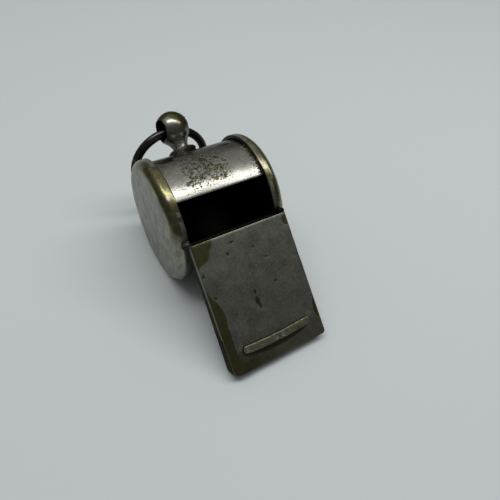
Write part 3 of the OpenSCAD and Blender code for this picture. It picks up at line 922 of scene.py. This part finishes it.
class WHISTLE_OT_end_caps(bpy.types.Operator):
    """Models the two cupped caps that close the drum"""

    bl_idname = "whistle.end_caps"
    bl_label = "End Caps"

    def execute(self, context):
        sizes, look = settings()
        finishes = [cap_finish(look), inside_finish(look)]
        flat = CAP_OUT - sizes.cap_dome
        edge_r = CAP_R - sizes.cap_edge
        inner_r, inner_z = CAP_R - sizes.cap_sheet, flat - sizes.cap_sheet
        lip = sizes.rim_lip
        shares = [i / DOME_STEPS for i in range(DOME_STEPS)]
        dome = [(edge_r * share, CAP_OUT - sizes.cap_dome * share ** 2) for share in shares]
        bend = [math.radians(90 - 90 * i / EDGE_STEPS) for i in range(EDGE_STEPS + 1)]
        edge = [(edge_r + sizes.cap_edge * math.cos(a) ** EDGE_POWER,
                 flat - sizes.cap_edge * (1 - math.sin(a) ** EDGE_POWER)) for a in bend]
        outline = [*dome, *edge,
                   *line((CAP_R, flat - sizes.cap_edge), (CAP_R, RIM_IN + lip), 4)[1:],
                   *arc((CAP_R - lip, RIM_IN + lip), lip, 0, -90, 3),
                   *arc((inner_r + lip, RIM_IN + lip), lip, -90, -180, 3),
                   *line((inner_r, RIM_IN + 2 * lip), (inner_r, inner_z), 4),
                   *line((inner_r, inner_z), (0, inner_z), 16), (0, inner_z)]
        for side, name, seed in ((1, "right_cap", 5.3), (-1, "left_cap", 8.9)):
            bm = turned(outline, CAP_STEPS)
            ripple(bm, 3.5 * MM, sizes.unevenness, seed)
            ripple(bm, 1.2 * MM, sizes.unevenness * 0.25, seed + 2)
            place = DRUM_FRAME @ Matrix.Diagonal((1, 1, side, 1))
            make_piece(bm, name + "_shell", place, "whistle", finishes, [name],
                       lambda f: mid(f).z < inner_z + 0.1 * MM and mid(f).xy.length < inner_r + 0.05 * MM)
        return {"FINISHED"}


def tip_sheet(rear, tip, rear_half, tip_half, sizes):
    """A flat outline that widens evenly from its rear edge to a tip with rounded corners."""
    bm = bmesh.new()
    left, right = sizes.left_corner, sizes.right_corner
    points = [(rear, rear_half), *arc((tip - right, tip_half - right), right, 90, 0, 10),
              *arc((tip - left, left - tip_half), left, 0, -90, 10), (rear, -rear_half)]
    bm.faces.new([bm.verts.new((s, y, 0)) for s, y in points])
    return bm


def side_lines(bm, rear, tip, rear_half, tip_half, faces):
    """Cuts faces along two lines that run beside the flaring edges."""
    flare = math.atan2(tip_half - rear_half, tip - rear)
    for side in (-1, 1):
        out = (-math.sin(flare), side * math.cos(flare), 0)
        cut_across(bm, (rear, side * rear_half, 0), out, faces())


class WHISTLE_OT_mouthpiece_plate(bpy.types.Operator):
    """Models the mouthpiece's top plate with its folded side flanges, dents and rounded tip"""

    bl_idname = "whistle.mouthpiece_plate"
    bl_label = "Mouthpiece Plate"

    def execute(self, context):
        sizes, look = settings()
        rear_half = PLATE_HALF - sizes.plate_flare
        sheet, flange_s = sizes.duct_sheet, PLATE_TIP - sizes.flange_end
        bm = tip_sheet(PLATE_REAR, PLATE_TIP, rear_half, PLATE_HALF, sizes)
        cut_across(bm, (flange_s, 0, 0), (1, 0, 0))
        side_lines(bm, PLATE_REAR, PLATE_TIP, rear_half - sheet, PLATE_HALF - sheet,
                   lambda: [f for f in bm.faces if mid(f).x < flange_s])
        strips = [f for f in raise_faces(bm, bm.faces[:], -sheet)
                  if mid(f).x < flange_s and abs(mid(f).y) > rear_half - sheet]
        raise_faces(bm, strips, PLATE_LOW - PLATE_TOP + sheet)
        bmesh.ops.recalc_face_normals(bm, faces=bm.faces)
        round_edges(bm, sizes.fold, 4, lambda e: min(v.co.z for v in e.verts) > -WELD
                    and max(v.co.x for v in e.verts) > PLATE_REAR + MM)
        round_edges(bm, sizes.worn_edge, 2, lambda e: max(v.co.x for v in e.verts) < PLATE_REAR + WELD
                    and min(v.co.z for v in e.verts) > -WELD)
        grid(bm, 0.45 * MM)
        ripple(bm, 5 * MM, sizes.unevenness * 1.2, 1.7)
        ripple(bm, 1.6 * MM, sizes.unevenness * 0.3, 4.4)
        for at, half in PLATE_PITS:
            dent(bm, (*at, 0), 2.2 * max(half), sizes.dent_depth)
        for s, y, width in PLATE_DENTS:
            dent(bm, in_mm(s, y, 0), width * MM, sizes.dent_depth * 0.7)
        place = DUCT_FRAME @ Matrix.Translation((0, 0, PLATE_TOP))
        make_piece(bm, "mouthpiece_plate", place, "whistle",
                   [plate_finish(look), inside_finish(look)], ["mouthpiece_top"],
                   lambda f: (f.normal.z < -0.5 or f.normal.x < -0.9)
                   and mid(f).x < PLATE_TIP - 2 * MM and abs(mid(f).y) < rear_half - sheet)
        return {"FINISHED"}


class WHISTLE_OT_mouthpiece_tray(bpy.types.Operator):
    """Models the tray under the plate: the windway's floor and side walls"""

    bl_idname = "whistle.mouthpiece_tray"
    bl_label = "Mouthpiece Tray"

    def execute(self, context):
        sizes, look = settings()
        rear_half, sheet = TRAY_HALF - sizes.tray_flare, sizes.duct_sheet
        flange_s = PLATE_TIP - sizes.flange_end + 0.03 * MM
        bm = tip_sheet(TRAY_REAR, TRAY_TIP, rear_half, TRAY_HALF, sizes)
        cut_across(bm, (flange_s, 0, 0), (1, 0, 0))
        side_lines(bm, TRAY_REAR, TRAY_TIP, rear_half - sheet, TRAY_HALF - sheet, lambda: bm.faces[:])
        flare = sizes.tray_flare / (TRAY_TIP - TRAY_REAR)
        walls = [f for f in raise_faces(bm, bm.faces[:], sheet)
                 if abs(mid(f).y) > rear_half - sheet + flare * (mid(f).x - TRAY_REAR)]
        seam = PLATE_LOW - 0.03 * MM - TRAY_LOW
        walls = raise_faces(bm, walls, seam - sheet)
        raise_faces(bm, [f for f in walls if mid(f).x > flange_s], TRAY_TOP - TRAY_LOW - seam)
        bmesh.ops.recalc_face_normals(bm, faces=bm.faces)
        round_edges(bm, sizes.fold, 4, lambda e: max(v.co.z for v in e.verts) < WELD)
        grid(bm, 0.6 * MM)
        ripple(bm, 5 * MM, sizes.unevenness, 6.7)
        place = DUCT_FRAME @ Matrix.Translation((0, 0, TRAY_LOW))
        make_piece(bm, "mouthpiece_tray_shell", place, "whistle",
                   [tray_finish(look), inside_finish(look)], ["mouthpiece_tray"],
                   lambda f: mid(f).z > sheet - 0.1 * MM and mid(f).x < TRAY_TIP - 2 * MM
                   and abs(mid(f).y) < TRAY_HALF - sheet)
        return {"FINISHED"}


class WHISTLE_OT_bite_ridge(bpy.types.Operator):
    """Models the bowed ridge across the plate"""

    bl_idname = "whistle.bite_ridge"
    bl_label = "Bite Ridge"

    def execute(self, context):
        sizes, look = settings()
        width, height = sizes.ridge_width, RIDGE_TOP - RIDGE_LOW
        spare = RIDGE_TIP - RIDGE_REAR - width
        bm = bmesh.new()
        bmesh.ops.create_cube(bm, size=1)
        bmesh.ops.scale(bm, verts=bm.verts, vec=(width, 2 * RIDGE_HALF, height))
        round_edges(bm, width * 0.48, 6, lambda e: abs(e.verts[0].co.z - e.verts[1].co.z) > WELD)
        round_edges(bm, height * 0.25, 4, lambda e: min(v.co.z for v in e.verts) > 0)
        slice_up(bm, (0, 1, 0), 0.35 * MM)
        slice_up(bm, (1, 0, 0), 0.35 * MM)
        for v in bm.verts:
            crown = 1 - (v.co.y / RIDGE_HALF) ** 2
            v.co.x += spare * (crown - 0.5)
        ripple(bm, 0.9 * MM, sizes.unevenness * 1.6, 9.3)
        middle = ((RIDGE_REAR + RIDGE_TIP) / 2, 0, (RIDGE_LOW + RIDGE_TOP) / 2)
        place = DUCT_FRAME @ Matrix.Translation(middle)
        make_piece(bm, "bite_ridge_bar", place, "whistle", [ridge_finish(look)],
                   ["bite_ridge"])
        return {"FINISHED"}


class WHISTLE_OT_solder(bpy.types.Operator):
    """Models the solder beads at the mouthpiece's rear corners, and finishes the two seams"""

    bl_idname = "whistle.solder"
    bl_label = "Solder"

    def execute(self, context):
        finish = solder_finish(settings()[1])
        for name, seed in (("left_corner_solder", 2.2), ("right_corner_solder", 7.1)):
            low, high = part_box(name)
            place = Matrix.Translation((low + high) / 2)
            bm = bmesh.new()
            bmesh.ops.create_icosphere(bm, subdivisions=4, radius=1)
            ripple(bm, 0.9, 0.2, seed)
            bmesh.ops.scale(bm, verts=bm.verts, vec=(high - low) / 2)
            make_piece(bm, name + "_bead", place, "whistle", [finish], [name])
        for name in ("duct_seam_solder", "stud_solder"):
            materials = frame["nodes"][name].data.materials
            materials.clear()
            materials.append(finish)
        return {"FINISHED"}


class WHISTLE_OT_ring_stud(bpy.types.Operator):
    """Models the ball-headed stud with its worn cross hole"""

    bl_idname = "whistle.ring_stud"
    bl_label = "Ring Stud"

    def execute(self, context):
        sizes, look = settings()
        foot_top = FOOT_LOW + sizes.foot_height
        waist, edge, fillet = sizes.waist_radius, 0.1 * MM, 0.3 * MM
        rise = BALL_AT - foot_top - fillet
        curve_r = (rise ** 2 + waist ** 2 - BALL_R ** 2) / (2 * (BALL_R - waist))
        meet = math.degrees(math.atan2(rise, waist + curve_r))
        outline = [(0, FOOT_LOW), (sizes.foot_radius - edge / 2, FOOT_LOW),
                   *arc((sizes.foot_radius - edge, foot_top - edge), edge, 0, 90, 3),
                   *arc((waist + fillet, foot_top + fillet), fillet, 270, 180, 5),
                   *arc((waist + curve_r, foot_top + fillet), curve_r, 180, 180 - meet, 14)[1:],
                   *arc((0, BALL_AT), BALL_R, -meet, 90, 30)[1:]]
        bm = turned(outline, STUD_STEPS)
        hole_r, past = sizes.hole_radius, BALL_R * 1.2
        for low, skew in ((-past, 0), (0, sizes.hole_skew)):
            rod = turned([(0, low), (hole_r, low), (hole_r, past), (0, past)], HOLE_STEPS)
            rod.transform(Matrix.Translation((0, 0, HOLE_AT)) @ Matrix.Rotation(skew, 4, "Z")
                          @ Matrix.Rotation(QUARTER, 4, "X"))
            bm = less(bm, rod)
        ball = Vector((0, 0, BALL_AT))

        def at_mouth(edge):
            """Whether an edge lies on the ball's skin, away from the ball's middle."""
            return (min(abs(v.co.y) for v in edge.verts) > BALL_R * 0.4
                    and min((v.co - ball).length for v in edge.verts) > BALL_R * 0.985)

        round_edges(bm, sizes.hole_wear, 3, at_mouth, 30)
        ripple(bm, 2.2 * MM, sizes.unevenness, 2.4)
        make_piece(bm, "ring_stud_ball", STUD_FRAME, "whistle", [stud_finish(look)],
                   ["ring_stud"])
        return {"FINISHED"}


# Where the ends of the wire meet, round the ring
RING_JOINT = math.radians(240)


class WHISTLE_OT_lanyard_ring(bpy.types.Operator):
    """Models the ring of bent wire that hangs in the stud"""

    bl_idname = "whistle.lanyard_ring"
    bl_label = "Lanyard Ring"

    def execute(self, context):
        sizes, look = settings()
        gap = sizes.ring_gap / RING_R
        bm = bmesh.new()
        section = bmesh.ops.create_circle(bm, segments=WIRE_STEPS, radius=WIRE_R)["verts"]
        bmesh.ops.rotate(bm, verts=section, matrix=Matrix.Rotation(QUARTER, 3, "X"))
        bmesh.ops.translate(bm, verts=section, vec=(RING_R, 0, 0))
        bmesh.ops.rotate(bm, verts=section, matrix=Matrix.Rotation(RING_JOINT + gap / 2, 3, "Z"))
        bmesh.ops.spin(bm, geom=bm.verts[:] + bm.edges[:], cent=(0, 0, 0), axis=(0, 0, 1),
                       angle=math.tau - gap, steps=RING_STEPS)
        close_ends(bm)
        round_edges(bm, 0.12 * MM, 3, lambda e: True)
        ripple(bm, 3.0 * MM, 0.025 * MM, 5.9)
        make_piece(bm, "lanyard_ring_wire", RING_FRAME, "ring", [wire_finish(look)],
                   ["lanyard_ring"])
        return {"FINISHED"}


class WHISTLE_OT_cork_pea(bpy.types.Operator):
    """Models the loose cork pea"""

    bl_idname = "whistle.cork_pea"
    bl_label = "Cork Pea"

    def execute(self, context):
        bm = bmesh.new()
        bmesh.ops.create_icosphere(bm, subdivisions=6, radius=PEA_R - 0.08 * MM)
        ripple(bm, 1.4 * MM, 0.1 * MM, 1.1)
        ripple(bm, 0.45 * MM, 0.04 * MM, 3.1)
        finish = cork_finish(settings()[1])
        make_piece(bm, "cork_pea_ball", Matrix.Translation(PEA), "pea", [finish], ["cork_pea"])
        return {"FINISHED"}


# ---- stage

# Direction of the sky's brightest part, and its greys: how far towards that part, and how bright
SKY_BRIGHT = (-0.35, 0.0, 0.94)
SKY_GREYS = ((0.15, 0.15), (1.0, 1.0), (0.65, 0.27))
# Place of the lamp's middle, its turn, and its width and length
LAMP_PLACE = (0.005, 0.085, 0.36)
LAMP_TURN = math.radians(20)
LAMP_SIZE = (0.07, 0.58)
# Half the side of the floor, width of the camera's sensor in mm, and nearest and farthest thing it sees
FLOOR_HALF = 3
SENSOR = 36
CLIP = (0.001, 10)


class WHISTLE_OT_stage(bpy.types.Operator):
    """Sets up the floor, the light and the camera"""

    bl_idname = "whistle.stage"
    bl_label = "Stage"

    def execute(self, context):
        stage = context.scene.whistle_stage
        self.make_floor(stage)
        self.make_sky(stage)
        self.make_lamp(stage)
        self.make_camera(context.scene, stage)
        return {"FINISHED"}

    def make_floor(self, stage):
        """A wide plain floor at the height that the whistle rests on."""
        bm = bmesh.new()
        bmesh.ops.create_grid(bm, x_segments=1, y_segments=1, size=FLOOR_HALF)
        mesh = bpy.data.meshes.new("floor")
        bm.to_mesh(mesh)
        bm.free()
        finish = Finish("floor_paint")
        finish.set(Base_Color=stage.floor, Roughness=0.9)
        mesh.materials.append(finish.material)
        floor = bpy.data.objects.new("floor", mesh)
        bpy.context.scene.collection.objects.link(floor)
        floor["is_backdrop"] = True

    def make_sky(self, stage):
        """A soft sky, brightest high up behind the whistle."""
        world = bpy.data.worlds.new("soft_sky")
        world.use_nodes = True
        tree = world.node_tree
        place = tree.nodes.new("ShaderNodeTexCoord")
        ramp = tree.nodes.new("ShaderNodeValToRGB")
        towards = tree.nodes.new("ShaderNodeVectorMath")
        towards.operation = "DOT_PRODUCT"
        towards.inputs[1].default_value = SKY_BRIGHT
        tree.links.new(place.outputs["Generated"], towards.inputs[0])
        tree.links.new(towards.outputs["Value"], ramp.inputs[0])
        stops = ramp.color_ramp.elements
        for i, (position, grey) in enumerate(SKY_GREYS):
            stop = stops[i] if i < 2 else stops.new(position)
            stop.position, stop.color = position, (grey, grey, grey, 1)
        background = tree.nodes["Background"]
        tree.links.new(ramp.outputs["Color"], background.inputs["Color"])
        background.inputs["Strength"].default_value = stage.fill
        bpy.context.scene.world = world

    def make_lamp(self, stage):
        """A long strip lamp overhead, across the whistle."""
        light = bpy.data.lights.new("strip_lamp", "AREA")
        light.shape, light.energy = "RECTANGLE", stage.lamp_power
        light.size, light.size_y = LAMP_SIZE
        lamp = bpy.data.objects.new("strip_lamp", light)
        lamp.location = LAMP_PLACE
        lamp.rotation_mode = "QUATERNION"
        lamp.rotation_quaternion = Quaternion((0, 0, 1), -LAMP_TURN)
        bpy.context.scene.collection.objects.link(lamp)

    def make_camera(self, scene, stage):
        """A camera at the set direction, distance and roll."""
        flat = math.cos(stage.elevation)
        back = Vector((math.sin(stage.azimuth) * flat, -math.cos(stage.azimuth) * flat,
                       math.sin(stage.elevation)))
        lens = bpy.data.cameras.new("camera")
        lens.sensor_width, lens.lens = SENSOR, stage.lens
        lens.clip_start, lens.clip_end = CLIP
        camera = bpy.data.objects.new("camera", lens)
        camera.location = Vector(stage.target) + back * stage.distance
        camera.rotation_mode = "QUATERNION"
        camera.rotation_quaternion = back.to_track_quat("Z", "Y") @ Quaternion((0, 0, 1), stage.roll)
        scene.collection.objects.link(camera)
        scene.camera = camera


class WHISTLE_PT_panel(bpy.types.Panel):
    """Lists the whistle's operators and settings"""

    bl_idname = "WHISTLE_PT_panel"
    bl_label = "Pea Whistle"
    bl_space_type = "VIEW_3D"
    bl_region_type = "UI"
    bl_category = "Pea Whistle"

    def draw(self, context):
        layout = self.layout
        for operator in OPERATORS:
            layout.operator(operator.bl_idname)
        for group_name, group in GROUPS.items():
            box = layout.box()
            for name in group.__annotations__:
                box.prop(getattr(context.scene, group_name), name)


OPERATORS = (WHISTLE_OT_drum_band, WHISTLE_OT_end_caps, WHISTLE_OT_mouthpiece_plate,
             WHISTLE_OT_mouthpiece_tray, WHISTLE_OT_bite_ridge, WHISTLE_OT_solder, WHISTLE_OT_ring_stud,
             WHISTLE_OT_lanyard_ring, WHISTLE_OT_cork_pea, WHISTLE_OT_stage)
GROUPS = {"whistle_sizes": WhistleSizes, "whistle_finish": WhistleFinish, "whistle_stage": WhistleStage}


def register():
    """Registers the settings, the operators and the panel."""
    for cls in (*GROUPS.values(), *OPERATORS, WHISTLE_PT_panel):
        bpy.utils.register_class(cls)
    for name, group in GROUPS.items():
        setattr(bpy.types.Scene, name, PointerProperty(type=group))


def unregister():
    """Takes them away again."""
    for name in GROUPS:
        delattr(bpy.types.Scene, name)
    for cls in reversed((*GROUPS.values(), *OPERATORS, WHISTLE_PT_panel)):
        bpy.utils.unregister_class(cls)


def main():
    """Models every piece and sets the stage."""
    register()
    scene = bpy.context.scene
    scene.view_settings.view_transform = "Standard"
    for operator in OPERATORS:
        group, name = operator.bl_idname.split(".")
        getattr(getattr(bpy.ops, group), name)()
    boxes = {"cad": cad_box, "visual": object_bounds()}
    boxes = {name: [list(corner) for corner in box] for name, box in boxes.items()}


if __name__ == "__main__":
    main()
